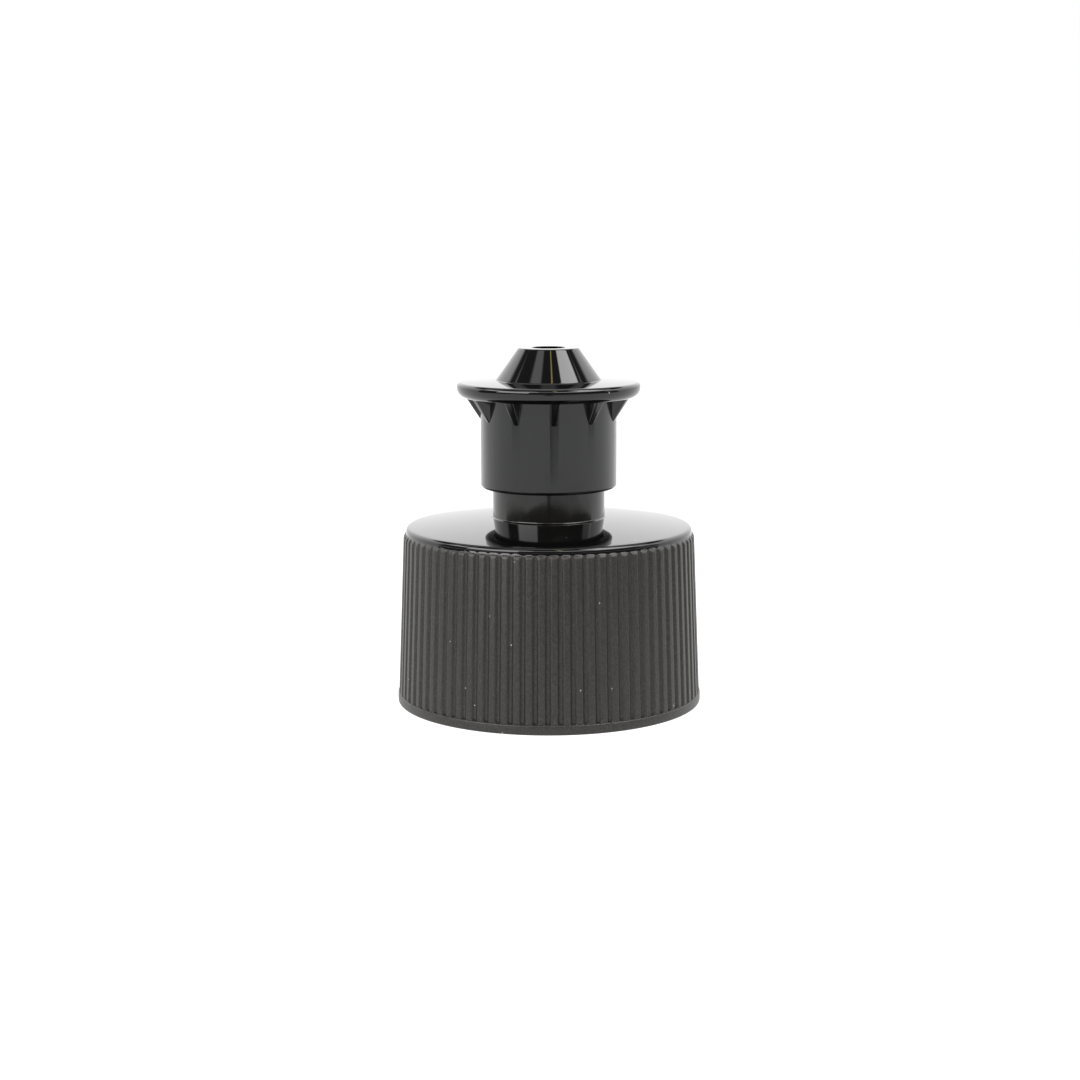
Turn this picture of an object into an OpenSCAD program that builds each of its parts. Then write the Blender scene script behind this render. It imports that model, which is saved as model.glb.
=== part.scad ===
// Push-pull dispensing closure for a 28 mm bottle neck, drawn with the spout pulled up (open).
// Millimetres, +Z up. The origin is the centre of the closure's bottom rim, on its axis.

/* [Skirt] */
// Outer radius of the plain band at the bottom of the skirt
skirt_r = 15.5; // [15.3:0.1:16]
// Height of the plain band
band_h = 1.0; // [0.6:0.1:1.6]
// Radius over the grip ribs, just above the band
rib_low_r = 15.4; // [15.2:0.05:15.45]
// Radius over the grip ribs at their tops
rib_top_r = 14.75; // [14.65:0.05:15]
// Height at which the ribs end
rib_top_z = 17.3; // [16:0.1:17.4]
// Number of grip ribs
rib_count = 78; // [48:1:90]
// Width of a groove between two ribs, at its floor
groove_w = 0.3; // [0.15:0.05:0.4]
// Depth of a groove at the band
groove_d = 0.27; // [0.15:0.01:0.35]
// Inner radius of the skirt, outside the bottle's thread
skirt_bore_r = 14.0; // [13.9:0.05:14.2]

/* [Deck] */
// Radius of the smooth rim above the ribs
rim_r = 14.52; // [14.4:0.02:14.6]
// Height of the rim, which is the top of the cap's shoulder
rim_z = 18.0; // [17.8:0.1:18.6]
// Radius of the rim's rounded edge
rim_round = 0.45; // [0.2:0.05:0.5]
// How far the domed deck would rise from its rim to the axis
dome_h = 1.1; // [0.6:0.05:1.2]
// Height of the deck's underside
deck_under_z = 15.9; // [15.4:0.1:16.2]

/* [Post] */
// Outer radius of the post that the spout slides on
post_r = 5.68; // [5.66:0.01:5.7]
// Height of the post's top
post_top_z = 25.2; // [24.9:0.1:25.5]
// Radius of the passage through the post
post_bore_r = 4.1; // [3.6:0.1:4.3]
// Outer radius of the retaining bead round the post
post_bead_r = 5.96; // [5.93:0.01:5.98]
// Radius of the post's stem, which is pressed into the deck
stem_r = 4.75; // [4.6:0.05:4.9]

/* [Stopper] */
// Radius of the pin that closes the orifice
pin_r = 1.6; // [1.4:0.05:1.65]
// Height of the pin's tip
pin_top_z = 33.1; // [32.4:0.1:33.2]
// Number of arms that hold the pin in the post
arm_count = 3; // [3:1:5]
// Width of an arm
arm_w = 0.9; // [0.6:0.1:1.4]

/* [Neck thread and liner] */
// Radius at the crest of the thread inside the skirt
thread_crest_r = 12.9; // [12.75:0.05:13.2]
// Rise of the thread in one turn, six turns to the inch
thread_pitch = 4.233; // [3.5:0.001:4.5]
// Length of the thread in turns
thread_turns = 1.6; // [1:0.1:1.8]
// Height of the thread's centre line where it starts
thread_start_z = 4.6; // [3:0.1:5]
// Thickness of the foam sealing liner
liner_t = 1.0; // [0.6:0.1:1.2]
// Outer radius of the liner
liner_r = 13.3; // [13:0.05:13.45]

/* [Pull spout] */
// Height of the sleeve's bottom edge with the spout pulled up
sleeve_z = 21.9; // [21.85:0.05:22.3]
// Outer radius of the sleeve
sleeve_r = 6.88; // [6.8:0.02:7.2]
// Inner radius of the sleeve, over the post's bead
sleeve_bore_r = 6.03; // [6.03:0.01:6.08]
// Inner radius of the bead at the sleeve's bottom, round the post
sleeve_bead_r = 5.76; // [5.74:0.01:5.78]
// Outer radius of the finger flange
flange_r = 9.27; // [9:0.01:9.8]
// Height of the flange's underside
flange_z = 31.05; // [31:0.05:31.3]
// Thickness of the flange at the foot of the nozzle
flange_t = 1.7; // [1.65:0.05:1.8]
// Number of fins under the flange
fin_count = 11; // [6:1:14]
// Thickness of a fin
fin_w = 0.92; // [0.6:0.02:1.4]
// Reach of a fin's outer corner from the axis
fin_r = 8.63; // [7.8:0.01:8.7]
// Height of a fin along the sleeve
fin_h = 2.3; // [1.6:0.1:3.5]
// Radius of the nozzle cone where it meets the flange
cone_foot_r = 5.22; // [5:0.02:5.4]
// Radius of the flat land round the orifice
land_r = 2.95; // [2.7:0.05:3.1]
// Radius of the orifice
orifice_r = 1.68; // [1.68:0.01:1.7]
// Height of the top of the nozzle with the spout pulled up
spout_top_z = 36.0; // [35.8:0.1:36.4]

/* [Hidden] */
$fn = 96;

// Skirt: the front of the closure faces -Y, and a groove lies just left of it
front = -90;
rib_phase = -0.4;
rib_pitch = 360 / rib_count;
band_edge = 0.15;
rib_round = 0.35;
rib_shoulder_z = rib_top_z - rib_round;
mouth_chamfer = 0.4;
seat_r = liner_r + 0.15;
seat_cone_h = 1.0;
seat_z = deck_under_z - liner_t - 0.3;
groove_low_r = rib_low_r - groove_d;
groove_top_r = rim_r + 0.02;
groove_run = rib_top_z - band_h;
groove_tilt = atan((groove_low_r - groove_top_r) / groove_run);
groove_flare = 0.3;
cut_out = 0.8;

// Deck
dome_r = rim_r - rim_round;
dome_steps = 6;
rim_round_z = rim_z - rim_round;

// Height of the domed deck at a radius
function deck_z(r) = rim_z + dome_h * (1 - pow(r / dome_r, 2));

// Post: its bead hooks under the spout's bead with a small gap when the spout is up
bead_gap = 0.05;
sleeve_bead_h = 1.1;
bead_z = sleeve_z + sleeve_bead_h + bead_gap;
bead_step = post_bead_r - post_r;
bead_land = 0.7;
foot_fillet = 0.18;
foot_r = post_r + foot_fillet;
post_tip = 0.45;

// Stopper
arm_low_z = 22.6;
arm_top_z = 24.8;
pin_low_z = 22.0;
pin_edge = 0.3;

// Thread ridge: a section is swept up a helix and sinks into the wall at both ends
ridge_root_r = skirt_bore_r + 0.1;
ridge_root_w = 1.9;
ridge_crest_w = 0.8;
ridge_steps_per_turn = 60;
ridge_steps = round(ridge_steps_per_turn * thread_turns);
ridge_fade_steps = 6;

// Liner
liner_hole_r = post_bore_r + 0.6;

// Spout
sleeve_edge = 0.4;
sleeve_mouth = 0.2;
bead_rise = sleeve_bore_r - sleeve_bead_r;
flange_edge = 0.45;
flange_low_edge = 1.0;
flange_fall = 0.15;
ceiling_z = 30.6;
throat_r = 4.5;
throat_z = 31.4;
lip_r = 2.35;
lip_h = 1.6;
fillet_h = 0.2;
cone_edge = 0.25;
fin_phase = 4.7;
fin_root_r = sleeve_r - 0.3;
fin_bite = 0.4;

// Lathe outline of the cap's deck, rim and skirt
module cap_outline() {
    polygon([
        [stem_r, deck_under_z],
        [seat_r, deck_under_z],
        [seat_r, seat_z],
        [skirt_bore_r, seat_z - seat_cone_h],
        [skirt_bore_r, mouth_chamfer],
        [skirt_bore_r + mouth_chamfer, 0],
        [skirt_r - band_edge, 0],
        [skirt_r, band_edge],
        [skirt_r, band_h - band_edge / 2],
        [skirt_r - band_edge / 2, band_h],
        [rib_low_r, band_h],
        [rib_top_r, rib_shoulder_z],
        [rib_top_r - 0.08, rib_top_z - 0.14],
        [rim_r, rib_top_z],
        [rim_r, rim_round_z],
        for (i = [0 : dome_steps])
            let (r = dome_r + (foot_r - dome_r) * i / dome_steps) [r, deck_z(r)],
        [stem_r, deck_z(stem_r)]
    ]);
    translate([dome_r, rim_round_z]) circle(r = rim_round);
}

// One groove between two ribs, which follows the skirt's draft
module rib_groove() {
    translate([groove_low_r, 0, band_h])
        rotate([0, -groove_tilt, 0])
            linear_extrude(height = groove_run)
                polygon([
                    [0, -groove_w / 2],
                    [0, groove_w / 2],
                    [cut_out, groove_w / 2 + groove_flare * cut_out],
                    [cut_out, -groove_w / 2 - groove_flare * cut_out]
                ]);
}

// Screw cap: ribbed skirt and domed deck, with a bore for the post's stem
module screw_cap() {
    color("#45433f")
        difference() {
            rotate_extrude() cap_outline();
            for (i = [0 : rib_count - 1])
                rotate([0, 0, front + rib_phase + i * rib_pitch]) rib_groove();
        }
}

// How far the ridge has risen out of the wall at step i, from 0 to 1
function ridge_rise(i) = min(1, min(i, ridge_steps - i) / ridge_fade_steps + 0.02);

// The four corners of the ridge's section at step i
function ridge_corners(i) =
    let (
        a = i * 360 / ridge_steps_per_turn,
        z = thread_start_z + i * thread_pitch / ridge_steps_per_turn,
        crest = ridge_root_r - ridge_rise(i) * (ridge_root_r - thread_crest_r),
        section = [
            [ridge_root_r, -ridge_root_w / 2],
            [crest, -ridge_crest_w / 2],
            [crest, ridge_crest_w / 2],
            [ridge_root_r, ridge_root_w / 2]
        ]
    )
    [for (c = section) [c[0] * cos(a), c[0] * sin(a), z + c[1]]];

// Neck thread: one right-handed ridge round the inside of the skirt
module neck_thread() {
    points = [for (i = [0 : ridge_steps]) each ridge_corners(i)];
    sides = [
        for (i = [0 : ridge_steps - 1], k = [0 : 3])
            let (a = 4 * i + k, b = 4 * i + (k + 1) % 4)
            [a, b, b + 4, a + 4]
    ];
    last = 4 * ridge_steps;
    ends = [[3, 2, 1, 0], [last, last + 1, last + 2, last + 3]];
    color("#3c3a37") polyhedron(points = points, faces = concat(sides, ends), convexity = 6);
}

// Sealing liner: a flat foam ring against the deck's underside
module sealing_liner() {
    color("#e9e8e2")
        translate([0, 0, deck_under_z - liner_t])
            difference() {
                cylinder(r = liner_r, h = liner_t);
                translate([0, 0, -1]) cylinder(r = liner_hole_r, h = liner_t + 2);
            }
}

// Valve post: the tube that the spout slides on, standing on the deck with its stem in it
module valve_post() {
    color("#4a4843")
        rotate_extrude()
            polygon([
                [post_bore_r, deck_under_z],
                [stem_r, deck_under_z],
                [stem_r, deck_z(stem_r)],
                [foot_r, deck_z(foot_r)],
                [post_r + foot_fillet * 0.3, deck_z(foot_r) + foot_fillet * 0.3],
                [post_r, deck_z(foot_r) + foot_fillet],
                [post_r, bead_z],
                [post_bead_r, bead_z + bead_step],
                [post_bead_r, bead_z + bead_step + bead_land],
                [post_r - post_tip / 2, post_top_z],
                [post_bore_r, post_top_z]
            ]);
}

// Stopper: a pin in the middle of the post, held by arms with the passage between them
module stopper_pin() {
    color("#3c3a37") {
        rotate_extrude()
            polygon([
                [0, pin_low_z],
                [pin_r - pin_edge, pin_low_z],
                [pin_r, pin_low_z + pin_edge],
                [pin_r, pin_top_z - pin_edge],
                [pin_r - pin_edge, pin_top_z],
                [0, pin_top_z]
            ]);
        intersection() {
            cylinder(r = post_bore_r, h = post_top_z);
            for (i = [0 : arm_count - 1])
                rotate([0, 0, front + i * 360 / arm_count])
                    translate([0, -arm_w / 2, arm_low_z])
                        cube([post_bore_r + 1, arm_w, arm_top_z - arm_low_z]);
        }
    }
}

// Lathe outline of the spout's outside: sleeve, finger flange and nozzle cone
module spout_outside() {
    translate([0, sleeve_z]) square([sleeve_r - sleeve_edge, flange_z - sleeve_z]);
    translate([0, sleeve_z + sleeve_edge]) square([sleeve_r, flange_z - sleeve_z]);
    translate([sleeve_r - sleeve_edge, sleeve_z + sleeve_edge]) circle(r = sleeve_edge);

    flange_top = flange_z + flange_t;
    rim_top = flange_top - flange_fall;
    polygon([
        [0, flange_z],
        [flange_r - flange_low_edge, flange_z],
        [flange_r, flange_z + flange_low_edge],
        [flange_r, rim_top - flange_edge],
        [flange_r - flange_edge, rim_top],
        [cone_foot_r, flange_top],
        [0, flange_top]
    ]);
    translate([flange_r - flange_low_edge, flange_z + flange_low_edge]) circle(r = flange_low_edge);
    translate([flange_r - flange_edge, rim_top - flange_edge]) circle(r = flange_edge);

    polygon([
        [0, flange_top - 0.1],
        [cone_foot_r + fillet_h, flange_top - 0.1],
        [cone_foot_r + fillet_h, flange_top],
        [cone_foot_r + fillet_h * 0.4, flange_top + fillet_h * 0.4],
        [cone_foot_r, flange_top + fillet_h],
        [land_r + cone_edge, spout_top_z - cone_edge],
        [land_r, spout_top_z],
        [0, spout_top_z]
    ]);
}

// Lathe outline of the passage up through the spout
module spout_inside() {
    bead_top = sleeve_z + sleeve_bead_h;
    polygon([
        [-1, sleeve_z - 1],
        [sleeve_bead_r + sleeve_mouth, sleeve_z - 1],
        [sleeve_bead_r + sleeve_mouth, sleeve_z],
        [sleeve_bead_r, sleeve_z + sleeve_mouth],
        [sleeve_bead_r, bead_top],
        [sleeve_bore_r, bead_top + bead_rise],
        [sleeve_bore_r, ceiling_z],
        [throat_r, throat_z],
        [lip_r, spout_top_z - lip_h],
        [orifice_r, spout_top_z - lip_h],
        [orifice_r, spout_top_z + 1],
        [-1, spout_top_z + 1]
    ]);
}

// One fin: a triangular web between the sleeve and the flange
module fin() {
    rotate([90, 0, 0])
        translate([0, 0, -fin_w / 2])
            linear_extrude(height = fin_w)
                polygon([
                    [fin_root_r, flange_z + fin_bite],
                    [fin_root_r, flange_z - fin_h],
                    [sleeve_r, flange_z - fin_h],
                    [fin_r, flange_z],
                    [fin_r, flange_z + fin_bite]
                ]);
}

// Pull spout: sleeve, flange with its fins, and nozzle, moulded in one
module pull_spout() {
    color("#2e2e2f") {
        rotate_extrude()
            difference() {
                intersection() {
                    spout_outside();
                    square([flange_r + 1, spout_top_z + 1]);
                }
                spout_inside();
            }
        for (i = [0 : fin_count - 1])
            rotate([0, 0, front + fin_phase + i * 360 / fin_count]) fin();
    }
}

screw_cap();
neck_thread();
sealing_liner();
valve_post();
stopper_pin();
pull_spout();
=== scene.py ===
import math

import bpy
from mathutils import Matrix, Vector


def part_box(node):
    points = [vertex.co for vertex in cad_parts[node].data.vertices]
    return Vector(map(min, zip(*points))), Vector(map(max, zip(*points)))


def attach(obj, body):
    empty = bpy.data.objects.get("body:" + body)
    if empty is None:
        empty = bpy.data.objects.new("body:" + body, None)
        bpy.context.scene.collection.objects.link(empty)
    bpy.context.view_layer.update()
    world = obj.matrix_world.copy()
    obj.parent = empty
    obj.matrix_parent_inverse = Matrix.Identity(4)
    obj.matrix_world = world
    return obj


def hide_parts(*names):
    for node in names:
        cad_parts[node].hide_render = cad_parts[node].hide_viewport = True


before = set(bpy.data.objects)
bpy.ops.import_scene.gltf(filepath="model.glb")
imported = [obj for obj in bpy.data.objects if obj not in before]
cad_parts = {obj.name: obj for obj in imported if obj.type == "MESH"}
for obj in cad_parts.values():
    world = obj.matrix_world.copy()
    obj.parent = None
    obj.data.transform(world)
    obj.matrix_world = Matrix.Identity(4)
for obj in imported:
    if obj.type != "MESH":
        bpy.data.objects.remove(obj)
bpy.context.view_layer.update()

MM = 0.001
TURN = 2 * math.pi
DOUBLES = 0.002 * MM


# ---------------- sizes, from the frame where it has them

def low(node):
    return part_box(node)[0] / MM


def high(node):
    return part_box(node)[1] / MM


SKIRT_R = high("screw_cap").x
DECK_UNDER = low("valve_post").z
POST_TOP = high("valve_post").z
POST_BEAD_R = high("valve_post").x
LINER_R = high("sealing_liner").x
LINER_LOW = low("sealing_liner").z
PIN_LOW = low("stopper_pin").z
PIN_TOP = high("stopper_pin").z
SLEEVE_LOW = low("pull_spout").z
SPOUT_TOP = high("pull_spout").z
FLANGE_R = high("pull_spout").x

# Skirt and deck, in millimetres
RIB_COUNT = 78
RIB_PITCH = TURN / RIB_COUNT
RIB_COLUMNS = 14
NEAR_COLUMN = 0.3
NEAR_Z = 0.004
RIB_LOW_R = 15.4
RIB_TOP_R = 14.75
GROOVE_LOW_R = 15.13
GROOVE_TOP_R = 14.54
BAND_TOP = 1.0
RIB_TOP = 17.3
RIM_R = 14.52
RIM_TOP = 18.0
RIM_ROUND = 0.45
DOME_R = RIM_R - RIM_ROUND
DOME_RISE = 1.1
STEM_R = 4.75
FOOT_ROUND = 0.18
WALL_R = 14.0
SEAT_R = LINER_R + 0.15
SEAT_LOW = 14.6
WALL_TOP = 13.6
DECK_RINGS = 20
FRONT = -math.pi / 2
GROOVE_TURN = math.radians(-0.4)

# Post, stopper, liner
POST_R = 5.68
FOOT_R = POST_R + FOOT_ROUND
BORE_R = 4.1
PIN_R = 1.6
ARM_COUNT = 3
ARM_WIDE = 0.9
ARM_LOW = 22.6
ARM_TOP = 24.8
LINER_HOLE_R = 4.7

# Spout
SLEEVE_R = 6.88
SLEEVE_BORE_R = 6.03
SLEEVE_BEAD_R = 5.76
FLANGE_LOW = 31.05
FLANGE_TOP = 32.75
FLANGE_RIM = 32.6
FLANGE_ROUND = 0.45
FLANGE_LOW_ROUND = 1.0
CONE_FOOT_R = 5.22
LAND_R = 2.95
ORIFICE_R = 1.68
LIP_LOW = 34.4
FIN_COUNT = 11
FIN_WIDE = 1.0
FIN_TURN = math.radians(4.7)
FIN_R = 8.63
FIN_TALL = 2.3
FIN_LOW_SHARE = 0.45
SLEEVE_ROUND = 0.4
CONE_FOOT_ROUND = 0.22
LAND_ROUND = 0.25
BORE_TOP_R = 4.5
BORE_TOP = 31.4
BORE_SHOULDER = 30.6
LIP_R = 2.35


# ---------------- making meshes by hand

def only(piece):
    """Selects that piece and nothing else."""
    bpy.ops.object.select_all(action="DESELECT")
    piece.select_set(True)
    bpy.context.view_layer.objects.active = piece


def arc(r, z, radius, start, end, steps):
    """Points of an arc in an outline, round (r, z), with its angles in degrees."""
    turns = [math.radians(start + (end - start) * i / steps) for i in range(steps + 1)]
    return [(r + radius * math.cos(t), z + radius * math.sin(t)) for t in turns]


def trace(name, points):
    """Draws an outline in the XZ plane: one vertex, extruded from point to point.

    It is left in edit mode.
    """
    bpy.ops.object.select_all(action="DESELECT")
    bpy.ops.mesh.primitive_plane_add(size=MM, location=(0, 0, 0))
    piece = bpy.context.object
    piece.name = piece.data.name = name
    bpy.context.tool_settings.mesh_select_mode = (True, False, False)
    bpy.ops.object.mode_set(mode="EDIT")
    bpy.ops.mesh.select_all(action="SELECT")
    bpy.ops.mesh.merge(type="CENTER")
    here = (0, 0)
    for i, (r, z) in enumerate(points):
        step = {"value": ((r - here[0]) * MM, 0, (z - here[1]) * MM)}
        if i == 0:
            bpy.ops.transform.translate(**step)
        else:
            bpy.ops.mesh.extrude_region_move(TRANSFORM_OT_translate=step)
        here = (r, z)
    return piece


def close_up(outwards=True):
    """Merges doubles and turns the faces outwards."""
    bpy.ops.mesh.select_all(action="SELECT")
    bpy.ops.mesh.remove_doubles(threshold=DOUBLES)
    bpy.ops.mesh.normals_make_consistent(inside=not outwards)


def lathe(name, points, steps, ring=True):
    """Spins an outline into a closed solid.

    A ring's outline is closed; a plug's starts and ends on the axis.
    """
    piece = trace(name, points + points[:1] if ring else points)
    bpy.ops.mesh.select_all(action="SELECT")
    bpy.ops.mesh.spin(steps=steps, angle=TURN, center=(0, 0, 0), axis=(0, 0, 1))
    close_up()
    bpy.ops.object.mode_set(mode="OBJECT")
    return piece


def pick_points(piece, test):
    """In edit mode, selects the vertices whose place, in millimetres, passes the test."""
    bpy.ops.object.mode_set(mode="OBJECT")
    bpy.context.tool_settings.mesh_select_mode = (True, False, False)
    mesh = piece.data
    mesh.polygons.foreach_set("select", [False] * len(mesh.polygons))
    mesh.edges.foreach_set("select", [False] * len(mesh.edges))
    mesh.vertices.foreach_set("select", [test(v.co / MM) for v in mesh.vertices])
    bpy.ops.object.mode_set(mode="EDIT")


def paint_faces(piece, slot, test):
    """Gives the faces whose middle, in millimetres, passes the test that material slot."""
    only(piece)
    bpy.ops.object.mode_set(mode="OBJECT")
    mesh = piece.data
    mesh.vertices.foreach_set("select", [False] * len(mesh.vertices))
    mesh.edges.foreach_set("select", [False] * len(mesh.edges))
    mesh.polygons.foreach_set("select", [test(p.center / MM) for p in mesh.polygons])
    bpy.ops.object.mode_set(mode="EDIT")
    bpy.context.tool_settings.mesh_select_mode = (False, False, True)
    piece.active_material_index = slot
    bpy.ops.object.material_slot_assign()
    bpy.ops.object.mode_set(mode="OBJECT")


def turn_and_settle(piece, angle):
    """Turns a piece about Z and puts the turn into its mesh."""
    only(piece)
    piece.rotation_euler.z = angle
    bpy.ops.object.transform_apply(location=True, rotation=True, scale=True)


def round_edges(piece, width, segments=3, above=35):
    """Rounds a piece's edges sharper than that angle."""
    only(piece)
    bevel = piece.modifiers.new("edges", "BEVEL")
    bevel.width = width * MM
    bevel.segments = segments
    bevel.limit_method = "ANGLE"
    bevel.angle_limit = math.radians(above)
    bpy.ops.object.modifier_apply(modifier=bevel.name)


def weld(piece, other):
    """Joins another solid to a piece as one moulding."""
    only(piece)
    union = piece.modifiers.new("weld", "BOOLEAN")
    union.operation = "UNION"
    union.solver = "EXACT"
    union.object = other
    bpy.ops.object.modifier_apply(modifier=union.name)
    bpy.data.objects.remove(other, do_unlink=True)


def smooth(piece, angle=35):
    only(piece)
    bpy.ops.object.shade_smooth_by_angle(angle=math.radians(angle))


def radius(p):
    return math.hypot(p.x, p.y)


def deck_z(r):
    """Height of the domed deck at a radius."""
    return RIM_TOP + DOME_RISE * (1 - (r / DOME_R) ** 2)


# ---------------- pieces

def groove_share(column):
    """The share of the groove's depth at a column, from 0 on the crest to 1 on the floor."""
    away = abs(column / RIB_COLUMNS - 0.5)
    return max(0.0, min(1.0, (0.27 - away) / 0.15)) ** 1.3


def make_cap():
    """The cap: one rib and its share of the whole section, spun into 78 copies round the axis."""
    crest_fall = (RIB_LOW_R - RIB_TOP_R) / (RIB_TOP - BAND_TOP)
    rib_foot = BAND_TOP + 0.03

    def crest(z):
        return RIB_LOW_R - crest_fall * (z - BAND_TOP)

    steps = range(1, DECK_RINGS + 1)
    deck_rings = [DOME_R + (FOOT_R - DOME_R) * i / DECK_RINGS for i in steps] + [STEM_R]
    tip = [(0.0, 0.42), (0.025, 0.3), (0.06, 0.2), (0.11, 0.11), (0.17, 0.04)]
    rib_tip = [(crest(RIB_TOP - down) - inward, RIB_TOP - down) for inward, down in tip]
    outline = [
        (STEM_R, DECK_UNDER),
        (SEAT_R, DECK_UNDER),
        (SEAT_R, SEAT_LOW),
        (WALL_R, WALL_TOP),
        (WALL_R, 0.55),
        (WALL_R + 0.1, 0.25),
        (WALL_R + 0.4, 0.03),
        (WALL_R + 0.5, 0.0),
        (SKIRT_R - 0.25, 0.0),
        *arc(SKIRT_R - 0.18, 0.18, 0.18, -90, 0, 4),
        *arc(SKIRT_R - 0.14, BAND_TOP - 0.14, 0.14, 0, 80, 4),
        (RIB_LOW_R - 0.02, BAND_TOP),
        (crest(rib_foot) - 0.01, rib_foot),
        (crest(BAND_TOP + 0.12), BAND_TOP + 0.12),
        *rib_tip,
        (RIM_R, RIB_TOP),
        *arc(DOME_R, RIM_TOP - RIM_ROUND, RIM_ROUND, 0, 80, 8),
        *[(r, deck_z(r)) for r in deck_rings],
    ]
    piece = trace("cap_shell", outline + outline[:1])
    bpy.ops.mesh.select_all(action="SELECT")
    bpy.ops.mesh.spin(steps=RIB_COLUMNS, angle=RIB_PITCH, center=(0, 0, 0), axis=(0, 0, 1))
    bpy.ops.mesh.select_all(action="SELECT")
    bpy.ops.mesh.remove_doubles(threshold=DOUBLES)

    floor_fall = (GROOVE_LOW_R - GROOVE_TOP_R) / (RIB_TOP - BAND_TOP)
    rings = [(r, z) for r, z in outline if rib_foot <= z < RIB_TOP and r > RIM_R]
    for r, z in rings:
        floor = min(r, GROOVE_LOW_R - floor_fall * (z - BAND_TOP))
        for column in range(1, RIB_COLUMNS // 2 + 1):
            share = groove_share(column)
            if share == 0:
                continue

            def on_column(p):
                place = abs(math.atan2(p.y, p.x)) / RIB_PITCH * RIB_COLUMNS
                mirrored = min(place, RIB_COLUMNS - place)
                on_ring = abs(p.z - z) < NEAR_Z and radius(p) > RIM_R - 0.1
                return on_ring and abs(mirrored - column) < NEAR_COLUMN

            pick_points(piece, on_column)
            size = 1 - share * (r - floor) / r
            bpy.ops.transform.resize(value=(size, size, 1), center_override=(0, 0, 0))

    bpy.ops.mesh.select_all(action="SELECT")
    copies = RIB_COUNT - 1
    turn = copies * RIB_PITCH
    bpy.ops.mesh.spin(steps=copies, angle=turn, center=(0, 0, 0), axis=(0, 0, 1), dupli=True)
    close_up()
    bpy.ops.object.mode_set(mode="OBJECT")
    turn_and_settle(piece, FRONT + GROOVE_TURN - RIB_PITCH / 2)
    smooth(piece, 75)
    return piece


def make_liner():
    """The foam ring under the deck."""
    outline = [
        (LINER_HOLE_R, LINER_LOW),
        (LINER_R, LINER_LOW),
        (LINER_R, DECK_UNDER - 0.01),
        (LINER_HOLE_R, DECK_UNDER - 0.01),
    ]
    piece = lathe("liner_ring", outline, 192)
    round_edges(piece, 0.12)
    smooth(piece)
    return piece


def make_post():
    """The tube that the spout slides on, with its stem, retaining bead and tapered tip."""
    bead = SLEEVE_LOW + 1.15
    outline = [
        (BORE_R, DECK_UNDER),
        (STEM_R, DECK_UNDER),
        (STEM_R, deck_z(STEM_R)),
        *arc(FOOT_R, deck_z(FOOT_R) + FOOT_ROUND, FOOT_ROUND, -90, -180, 5),
        (POST_R, bead),
        (POST_BEAD_R - 0.03, bead + 0.24),
        (POST_BEAD_R, bead + 0.32),
        (POST_BEAD_R, bead + 0.9),
        (POST_BEAD_R - 0.04, bead + 1.02),
        (POST_R - 0.25, POST_TOP - 0.06),
        (POST_R - 0.32, POST_TOP),
        (BORE_R + 0.08, POST_TOP),
        (BORE_R, POST_TOP - 0.08),
    ]
    piece = lathe("post_tube", outline, 192)
    smooth(piece)
    return piece


def make_stopper():
    """The pin that fills the orifice, with its arms across the post's bore."""
    outline = [
        (0, PIN_LOW),
        (PIN_R - 0.5, PIN_LOW),
        (PIN_R - 0.08, PIN_LOW + 0.3),
        (PIN_R, PIN_LOW + 0.45),
        (PIN_R, PIN_TOP - 0.3),
        *arc(PIN_R - 0.25, PIN_TOP - 0.25, 0.25, 0, 90, 5),
        (0, PIN_TOP),
    ]
    piece = lathe("pin_and_arms", outline, 96, ring=False)
    reach = math.sqrt(BORE_R**2 - (ARM_WIDE / 2) ** 2)
    for i in range(ARM_COUNT):
        bpy.ops.object.select_all(action="DESELECT")
        bpy.ops.mesh.primitive_cube_add(size=MM, location=(0, 0, 0))
        arm = bpy.context.object
        arm.scale = (reach - 0.6, ARM_WIDE, ARM_TOP - ARM_LOW)
        arm.location = ((reach + 0.6) / 2 * MM, 0, (ARM_LOW + ARM_TOP) / 2 * MM)
        bpy.ops.object.transform_apply(location=True, rotation=True, scale=True)
        bpy.ops.object.mode_set(mode="EDIT")
        pick_points(arm, lambda p: p.z < ARM_LOW + 0.1)
        bpy.ops.transform.resize(value=(1, 0.6, 1), center_override=(0, 0, 0))
        bpy.ops.object.mode_set(mode="OBJECT")
        round_edges(arm, 0.08, 2)
        turn_and_settle(arm, FRONT + i * TURN / ARM_COUNT)
        weld(piece, arm)
    smooth(piece)
    return piece


def make_fin(i):
    """One fin: a plank whose lower outer corner is pulled in to the sleeve."""
    bpy.ops.object.select_all(action="DESELECT")
    bpy.ops.mesh.primitive_cube_add(size=MM, location=(0, 0, 0))
    fin = bpy.context.object
    inner, top = SLEEVE_R - 0.35, FLANGE_LOW + 0.4
    fin.scale = (FIN_R - inner, FIN_WIDE, FIN_TALL + 0.4)
    fin.location = ((FIN_R + inner) / 2 * MM, 0, (top + FLANGE_LOW - FIN_TALL) / 2 * MM)
    bpy.ops.object.transform_apply(location=True, rotation=True, scale=True)
    bpy.ops.object.mode_set(mode="EDIT")
    pick_points(fin, lambda p: p.z < FLANGE_LOW and p.x > SLEEVE_R)
    bpy.ops.transform.translate(value=((SLEEVE_R + 0.02 - FIN_R) * MM, 0, 0))
    bpy.ops.transform.resize(value=(1, FIN_LOW_SHARE, 1), center_override=(0, 0, 0))
    bpy.ops.object.mode_set(mode="OBJECT")
    round_edges(fin, 0.13, 4)
    turn_and_settle(fin, FRONT + FIN_TURN + i * TURN / FIN_COUNT)
    return fin


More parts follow.
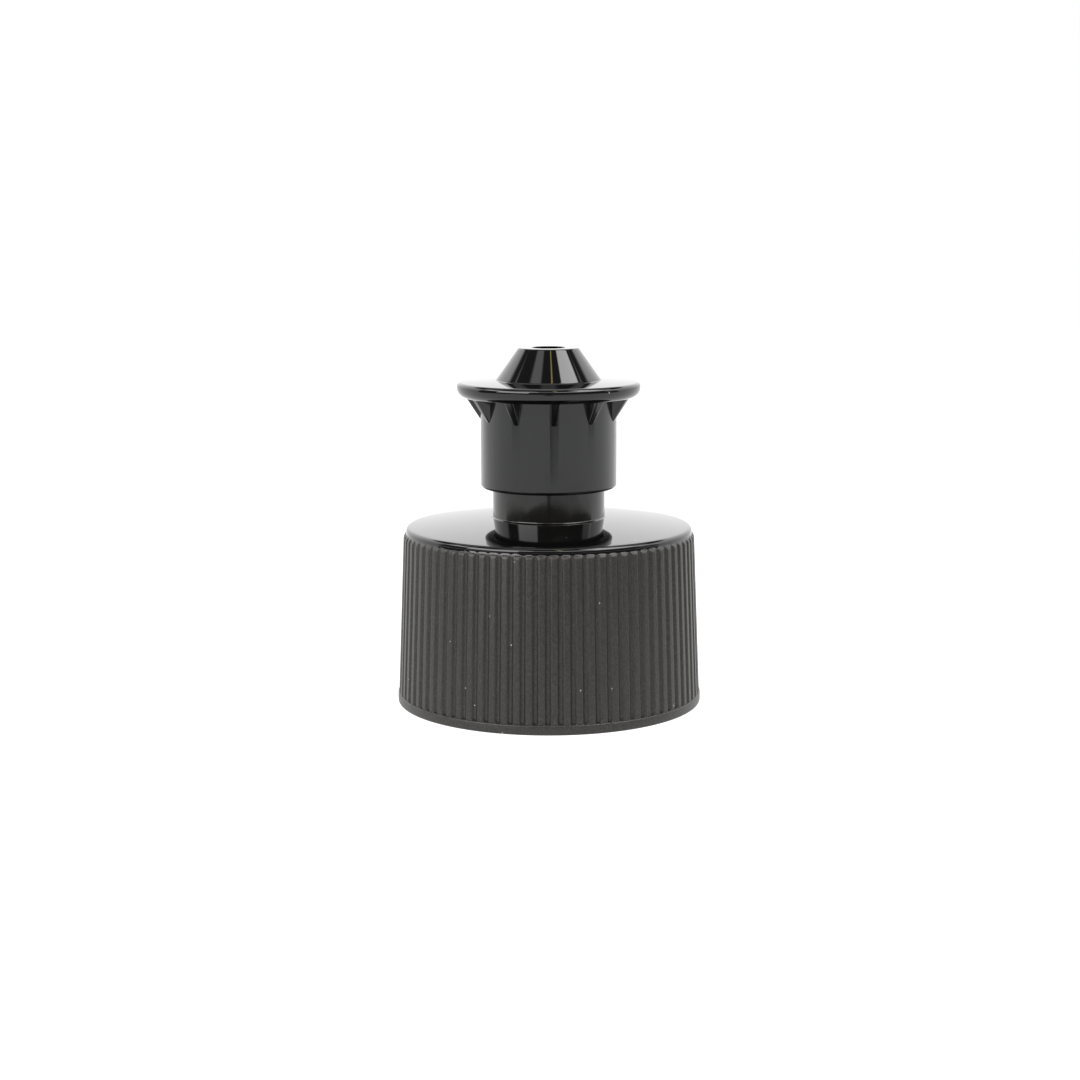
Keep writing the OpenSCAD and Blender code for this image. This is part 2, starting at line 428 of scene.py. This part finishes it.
def make_spout():
    """The spout: sleeve, finger flange and nozzle cone, with the fins welded under the flange."""
    outline = [
        (SLEEVE_BEAD_R + 0.2, SLEEVE_LOW),
        *arc(SLEEVE_R - SLEEVE_ROUND, SLEEVE_LOW + SLEEVE_ROUND, SLEEVE_ROUND, -90, 0, 7),
        (SLEEVE_R, FLANGE_LOW - 0.1),
        (SLEEVE_R + 0.03, FLANGE_LOW - 0.03),
        (SLEEVE_R + 0.1, FLANGE_LOW),
        *arc(FLANGE_R - FLANGE_LOW_ROUND, FLANGE_LOW + FLANGE_LOW_ROUND,
             FLANGE_LOW_ROUND, -90, 0, 12),
        *arc(FLANGE_R - FLANGE_ROUND, FLANGE_RIM - FLANGE_ROUND, FLANGE_ROUND, 0, 87, 8),
        *arc(CONE_FOOT_R + CONE_FOOT_ROUND, FLANGE_TOP + CONE_FOOT_ROUND,
             CONE_FOOT_ROUND, -90, -150, 6),
        *arc(LAND_R - 0.05, SPOUT_TOP - LAND_ROUND, LAND_ROUND, 30, 90, 6),
        (ORIFICE_R + 0.06, SPOUT_TOP),
        (ORIFICE_R, SPOUT_TOP - 0.06),
        (ORIFICE_R, LIP_LOW),
        (LIP_R, LIP_LOW),
        (BORE_TOP_R, BORE_TOP),
        (SLEEVE_BORE_R, BORE_SHOULDER),
        (SLEEVE_BORE_R, SLEEVE_LOW + 1.37),
        (SLEEVE_BEAD_R, SLEEVE_LOW + 1.1),
        (SLEEVE_BEAD_R, SLEEVE_LOW + 0.2),
    ]
    piece = lathe("spout_shell", outline, 240)
    for i in range(FIN_COUNT):
        weld(piece, make_fin(i))
    smooth(piece)
    return piece


# ---------------- materials

SPECK_R = 0.28
DECK_DUST = 0.28 * MM
RIB_DUST = 0.3 * MM
GRAIN = 0.15 * MM
WAVE = 3.0 * MM
STREAK_WIDE = 0.7 * MM
STREAK_LONG = 0.06
GLOSS_PATCH = 2.5 * MM
FOAM_CELL = 0.25 * MM
DECK_BLACK = "#070707"


def linear(hex_colour):
    """An sRGB hex colour as linear red, green, blue and alpha."""
    parts = [int(hex_colour[i : i + 2], 16) / 255 for i in (1, 3, 5)]
    even = [c / 12.92 if c <= 0.04045 else ((c + 0.055) / 1.055) ** 2.4 for c in parts]
    return (*even, 1.0)


def add(tree, kind, settings=None, **links):
    """Adds a node with its settings and links.

    A link is a value or another node's output. Its name is the input's, or i and its number.
    """
    node = tree.nodes.new(kind)
    for key, value in (settings or {}).items():
        setattr(node, key, value)
    for key, value in links.items():
        numbered = key[1:].isdigit()
        socket = node.inputs[int(key[1:]) if numbered else key.replace("_", " ")]
        if isinstance(value, bpy.types.NodeSocket):
            tree.links.new(value, socket)
        else:
            socket.default_value = value
    return node


def plastic(name, colour, roughness):
    """A black polyolefin moulding: a dark body under a clear, nearly colourless gloss."""
    material = bpy.data.materials.new(name)
    material.use_nodes = True
    tree = material.node_tree
    shader = tree.nodes["Principled BSDF"]
    shader.inputs["Base Color"].default_value = linear(colour)
    shader.inputs["Roughness"].default_value = roughness
    shader.inputs["IOR"].default_value = 1.49
    return material, tree, shader


def dusted(tree, place, size, share, clean, dust="#8c8a84"):
    """The clean colour with a few specks of pale dust on it, in cells of that size in metres."""
    cells = add(tree, "ShaderNodeTexVoronoi", i0=place, Scale=1 / size, Randomness=1.0)
    less, times = {"operation": "LESS_THAN"}, {"operation": "MULTIPLY"}
    near = add(tree, "ShaderNodeMath", less, i0=cells.outputs["Distance"], i1=SPECK_R).outputs[0]
    draw = add(tree, "ShaderNodeSeparateColor", i0=cells.outputs["Color"]).outputs[0]
    chosen = add(tree, "ShaderNodeMath", less, i0=draw, i1=share).outputs[0]
    speck = add(tree, "ShaderNodeMath", times, i0=near, i1=chosen).outputs[0]
    colours = {"i6": clean, "i7": linear(dust)}
    return add(tree, "ShaderNodeMix", {"data_type": "RGBA"}, i0=speck, **colours).outputs[2]


def bumped(tree, shader, height, strength, distance):
    """Roughens a shader's surface with that height, as deep as the distance in metres."""
    bump = add(tree, "ShaderNodeBump", Strength=strength, Distance=distance, Height=height)
    tree.links.new(bump.outputs["Normal"], shader.inputs["Normal"])


def polished_plastic():
    """Black polypropylene from a polished mould: mirror-like, slightly wavy, a little dusty."""
    material, tree, shader = plastic("polished_black_polypropylene", DECK_BLACK, 0.05)
    place = add(tree, "ShaderNodeTexCoord").outputs["Object"]
    body = dusted(tree, place, DECK_DUST, 0.004, linear(DECK_BLACK))
    tree.links.new(body, shader.inputs["Base Color"])
    waves = add(tree, "ShaderNodeTexNoise", i0=place, Scale=1 / WAVE, Detail=1.0)
    bumped(tree, shader, waves.outputs["Fac"], 0.05, 0.05 * MM)
    return material


def grained_plastic():
    """Black polypropylene from a spark-eroded mould: matt, a little brown, 0.15 mm grain."""
    material, tree, shader = plastic("grained_black_polypropylene", "#191614", 0.42)
    place = add(tree, "ShaderNodeTexCoord").outputs["Object"]
    grain = add(tree, "ShaderNodeTexNoise", i0=place, Scale=1 / GRAIN, Detail=2.0)
    fleck = add(tree, "ShaderNodeMapRange", i0=grain.outputs["Fac"], i1=0.4, i2=0.65).outputs[0]
    ends = {"i6": linear("#100f0d"), "i7": linear("#292723")}
    clean = add(tree, "ShaderNodeMix", {"data_type": "RGBA"}, i0=fleck, **ends).outputs[2]
    body = dusted(tree, place, RIB_DUST, 0.003, clean)
    tree.links.new(body, shader.inputs["Base Color"])
    bumped(tree, shader, grain.outputs["Fac"], 0.9, 0.02 * MM)
    return material


def satin_plastic(name, colour, roughness, streak):
    """Black plastic from a honed mould: satin, faintly streaked along the draw, uneven gloss."""
    material, tree, shader = plastic(name, colour, roughness)
    place = add(tree, "ShaderNodeTexCoord").outputs["Object"]
    drawn = add(tree, "ShaderNodeMapping", i0=place, i3=(1.0, 1.0, STREAK_LONG))
    wide = 1 / STREAK_WIDE
    streaks = add(tree, "ShaderNodeTexNoise", i0=drawn.outputs[0], Scale=wide, Detail=3.0)
    bumped(tree, shader, streaks.outputs["Fac"], streak, 0.03 * MM)
    patches = add(tree, "ShaderNodeTexNoise", i0=place, Scale=1 / GLOSS_PATCH, Detail=4.0)
    spread = {"i1": 0.35, "i2": 0.65, "i3": roughness * 0.7, "i4": roughness * 1.4}
    gloss = add(tree, "ShaderNodeMapRange", i0=patches.outputs["Fac"], **spread)
    tree.links.new(gloss.outputs[0], shader.inputs["Roughness"])
    return material


def foam():
    """White foamed polyethylene: matt, with fine closed cells."""
    material, tree, shader = plastic("white_foamed_polyethylene", "#e8e6df", 0.7)
    place = add(tree, "ShaderNodeTexCoord").outputs["Object"]
    cells = add(tree, "ShaderNodeTexVoronoi", i0=place, Scale=1 / FOAM_CELL)
    bumped(tree, shader, cells.outputs["Distance"], 0.3, 0.03 * MM)
    return material


def finish_with(piece, *materials):
    piece.data.materials.clear()
    for material in materials:
        piece.data.materials.append(material)


# ---------------- studio

CAMERA_PLACE = (0, -200.5 * MM, 49.9 * MM)
CAMERA_TILT = math.radians(90 - 9.48)
CAMERA_ROLL = math.radians(0.135)
CAMERA_TURN = 0.0041
CAMERA_LENS = 66.5
SENSOR = 36
FLOOR_SIDE = 330
FLOOR_NEAR = -335
FLOOR_FAR = 600
FLOOR_DROP = 0.01
FLOOR_GLOW = 1.1
ROOM_LIGHT = 0.12
WARM_SHARES = (1.0, 0.75, 0.3)


def make_camera():
    bpy.ops.object.select_all(action="DESELECT")
    bpy.ops.object.camera_add(location=CAMERA_PLACE)
    camera = bpy.context.object
    camera.name = "studio_camera"
    camera.data.sensor_width = SENSOR
    camera.data.lens = CAMERA_LENS
    camera.data.clip_start = 5 * MM
    camera.rotation_mode = "XYZ"
    camera.rotation_euler = (CAMERA_TILT, CAMERA_ROLL, CAMERA_TURN)
    bpy.context.scene.camera = camera


def make_floor():
    """A sheet of lit white acrylic on a dark table. It ends a hand's breadth beyond the camera."""
    bpy.ops.object.select_all(action="DESELECT")
    bpy.ops.mesh.primitive_plane_add(size=2 * MM, location=(0, 0, 0))
    floor = bpy.context.object
    floor.name = "studio_floor"
    floor.scale = (FLOOR_SIDE, (FLOOR_FAR - FLOOR_NEAR) / 2, 1)
    floor.location = (0, (FLOOR_FAR + FLOOR_NEAR) / 2 * MM, -FLOOR_DROP * MM)
    bpy.ops.object.transform_apply(location=True, rotation=True, scale=True)
    material = bpy.data.materials.new("lit_white_acrylic")
    material.use_nodes = True
    tree = material.node_tree
    shader = tree.nodes["Principled BSDF"]
    shader.inputs["Base Color"].default_value = linear("#666666")
    shader.inputs["Roughness"].default_value = 0.9
    shader.inputs["Specular IOR Level"].default_value = 0.0
    shader.inputs["Emission Color"].default_value = (1, 1, 1, 1)
    place = add(tree, "ShaderNodeTexCoord").outputs["Object"]
    xyz = add(tree, "ShaderNodeSeparateXYZ", i0=place).outputs
    minus, times = {"operation": "SUBTRACT"}, {"operation": "MULTIPLY"}

    def ramp(place, start, end, low_end, high_end):
        """Goes softly from one value to another between two places, in metres."""
        soft = {"interpolation_type": "SMOOTHSTEP"}
        ends = {"i1": start, "i2": end, "i3": low_end, "i4": high_end}
        return add(tree, "ShaderNodeMapRange", soft, i0=place, **ends).outputs[0]

    # painted shadow of the camera and photographer: in reflections the sheet is dimmer at the
    # front right, and dimmest right under the camera
    front = ramp(xyz["Y"], -0.1, -0.13, 0.0, 1.0)
    right = ramp(xyz["X"], -0.04, 0.06, 0.0, 0.3)
    off_middle = add(tree, "ShaderNodeMath", minus, i0=xyz["X"], i1=0.002).outputs[0]
    off_middle = add(tree, "ShaderNodeMath", {"operation": "ABSOLUTE"}, i0=off_middle).outputs[0]
    under = ramp(off_middle, 0.004, 0.028, 0.85, 0.0)
    dim = add(tree, "ShaderNodeMath", {"operation": "MAXIMUM"}, i0=right, i1=under).outputs[0]
    dim = add(tree, "ShaderNodeMath", times, i0=dim, i1=front).outputs[0]
    seen = add(tree, "ShaderNodeLightPath").outputs["Is Camera Ray"]
    unseen = add(tree, "ShaderNodeMath", minus, i0=1.0, i1=seen).outputs[0]
    dim = add(tree, "ShaderNodeMath", times, i0=dim, i1=unseen).outputs[0]
    # the sheet's glow, less the painted shadow, which is left out for camera rays
    glow = add(tree, "ShaderNodeMapRange", i0=dim, i3=FLOOR_GLOW, i4=0.0).outputs[0]
    tree.links.new(glow, shader.inputs["Emission Strength"])
    floor.data.materials.append(material)


def make_sky():
    """Soft studio light: a bright backdrop, bands of light round the front, and a dim room.

    Angles are in degrees. Azimuth 0 is the front, and positive azimuths are to the right.
    The camera itself sees plain white.
    """
    world = bpy.data.worlds.new("studio_light")
    bpy.context.scene.world = world
    world.use_nodes = True
    tree = world.node_tree
    background = tree.nodes["Background"]
    way = add(tree, "ShaderNodeTexCoord").outputs["Generated"]
    xyz = add(tree, "ShaderNodeSeparateXYZ", i0=way).outputs
    minus, times = {"operation": "SUBTRACT"}, {"operation": "MULTIPLY"}
    plus, times_plus = {"operation": "ADD"}, {"operation": "MULTIPLY_ADD"}
    toward = add(tree, "ShaderNodeMath", times, i0=xyz["Y"], i1=-1.0).outputs[0]
    turned = {"operation": "ARCTAN2"}
    azimuth = add(tree, "ShaderNodeMath", turned, i0=xyz["X"], i1=toward).outputs[0]
    elevation = add(tree, "ShaderNodeMath", {"operation": "ARCSINE"}, i0=xyz["Z"]).outputs[0]
    aside = add(tree, "ShaderNodeMath", {"operation": "ABSOLUTE"}, i0=azimuth).outputs[0]

    def step_up(angle, at, soft):
        """Goes from 0 to 1 round an angle."""
        ramp = {"interpolation_type": "SMOOTHSTEP"}
        at, soft = math.radians(at), math.radians(soft)
        ends = {"i1": at - soft, "i2": at + soft}
        return add(tree, "ShaderNodeMapRange", ramp, i0=angle, **ends).outputs[0]

    def between(angle, start, end, soft):
        """1 between two angles and 0 outside them."""
        rise, fall = step_up(angle, start, soft), step_up(angle, end, soft)
        return add(tree, "ShaderNodeMath", minus, i0=rise, i1=fall).outputs[0]

    def patch(azimuths, elevations, soft, strength, turn=azimuth):
        """A patch of light with soft edges, over those azimuths and elevations."""
        across, up = between(turn, *azimuths, soft), between(elevation, *elevations, soft)
        shape = add(tree, "ShaderNodeMath", times, i0=across, i1=up).outputs[0]
        return add(tree, "ShaderNodeMath", times, i0=shape, i1=strength).outputs[0]

    heights = {"i1": 0.0, "i2": math.radians(36), "i3": 1.2, "i4": 2.6}
    rising = add(tree, "ShaderNodeMapRange", i0=elevation, **heights).outputs[0]
    lights = [
        # the backdrop, to the sides and behind, brighter higher up
        patch((97, 400), (-60, 36), 3, rising, aside),
        patch((112, 400), (47, 84), 3, 0.8, aside),
        # overhead
        patch((-10, 400), (80, 100), 3, 1.0, aside),
        # a band across the front, which lights the rim, the flange's edge and the tips of the ribs
        patch((-100, -14), (31, 44), 2, 6.0),
        patch((-14, 9), (31, 44), 2, 2.5),
        patch((9, 100), (31, 44), 2, 5.0),
        # high front left and front right, for the nozzle
        patch((-62, -28), (54, 70), 5, 1.7),
        patch((45, 91), (42, 69), 1.5, 8.0),
        # low front left and right, for the sleeve and the post
        patch((-69, -25), (12, 32), 1, 6.5),
        patch((78, 101), (12, 32), 1, 1.5),
    ]
    total = ROOM_LIGHT
    for light in lights:
        total = add(tree, "ShaderNodeMath", plus, i0=light, i1=total).outputs[0]
    warm = patch((10, 15), (50, 74), 1, 5.0)
    seen = add(tree, "ShaderNodeLightPath").outputs["Is Camera Ray"]
    unseen = add(tree, "ShaderNodeMath", minus, i0=1.0, i1=seen).outputs[0]
    parts = []
    for share in WARM_SHARES:
        light = add(tree, "ShaderNodeMath", times_plus, i0=warm, i1=share, i2=total).outputs[0]
        both = add(tree, "ShaderNodeMath", times_plus, i0=light, i1=unseen, i2=seen).outputs[0]
        parts.append(both)
    colour = add(tree, "ShaderNodeCombineColor", i0=parts[0], i1=parts[1], i2=parts[2])
    tree.links.new(colour.outputs[0], background.inputs["Color"])


# ---------------- put together

make_camera()
make_floor()
make_sky()
bpy.context.scene.view_settings.view_transform = "Standard"

polished = polished_plastic()
grained = grained_plastic()
satin_post = satin_plastic("satin_black_polypropylene", "#0c0b09", 0.09, 0.1)
satin_spout = satin_plastic("satin_black_polyethylene", "#090a0b", 0.15, 0.12)
white_foam = foam()

cap = make_cap()
finish_with(cap, polished, grained, satin_post)
paint_faces(cap, 1, lambda p: radius(p) > RIM_R - 0.06 and p.z < RIB_TOP)
paint_faces(cap, 2, lambda p: p.z < DECK_UNDER + 0.1 and radius(p) < WALL_R + 0.3)
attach(cap, "cap")
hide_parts("screw_cap")

liner = make_liner()
finish_with(liner, white_foam)
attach(liner, "cap")
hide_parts("sealing_liner")

post = make_post()
finish_with(post, satin_post)
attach(post, "cap")
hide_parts("valve_post")

stopper = make_stopper()
finish_with(stopper, satin_post)
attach(stopper, "cap")
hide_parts("stopper_pin")

spout = make_spout()
finish_with(spout, polished, satin_spout)
paint_faces(spout, 1, lambda p: p.z < FLANGE_LOW - 0.02)
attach(spout, "spout")
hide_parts("pull_spout")

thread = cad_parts["neck_thread"]
finish_with(thread, satin_post)
